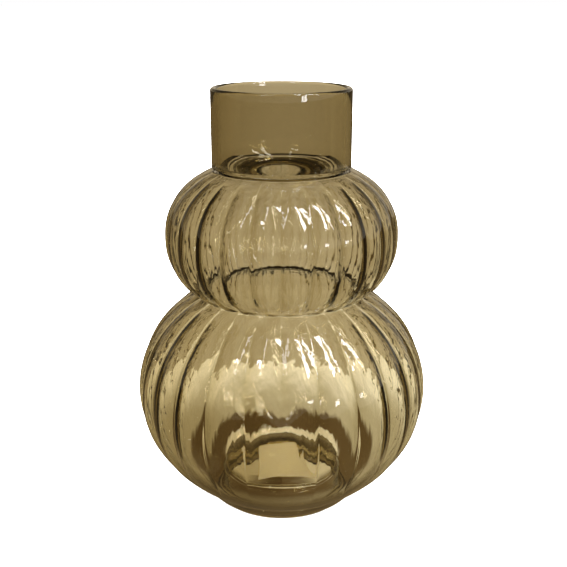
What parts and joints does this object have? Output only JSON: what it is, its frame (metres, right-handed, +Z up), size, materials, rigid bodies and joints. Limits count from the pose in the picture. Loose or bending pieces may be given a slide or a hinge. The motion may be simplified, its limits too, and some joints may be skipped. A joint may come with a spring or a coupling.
{
  "type": "gourd vase",
  "caption": "Amber glass vase in the shape of a gourd: a wide ribbed lower bulb, a smaller ribbed upper bulb, a plain round neck and a recessed foot. Holds cut stems in water.",
  "frame": {"origin": "on the vase's axis, in the plane that the foot stands on", "axes": "+Z up along the vase's axis; -Y is the front, where one of the two mould seams runs; +X to the right"},
  "size_m": [0.1988, 0.2002, 0.288],
  "materials": {
    "amber_glass": "clear, fire-polished, glossy",
    "label_paper": "matt, blank"
  },
  "bodies": {
    "root": {"glass_body": "amber_glass", "base_label": "label_paper"}
  },
  "joints": []
}
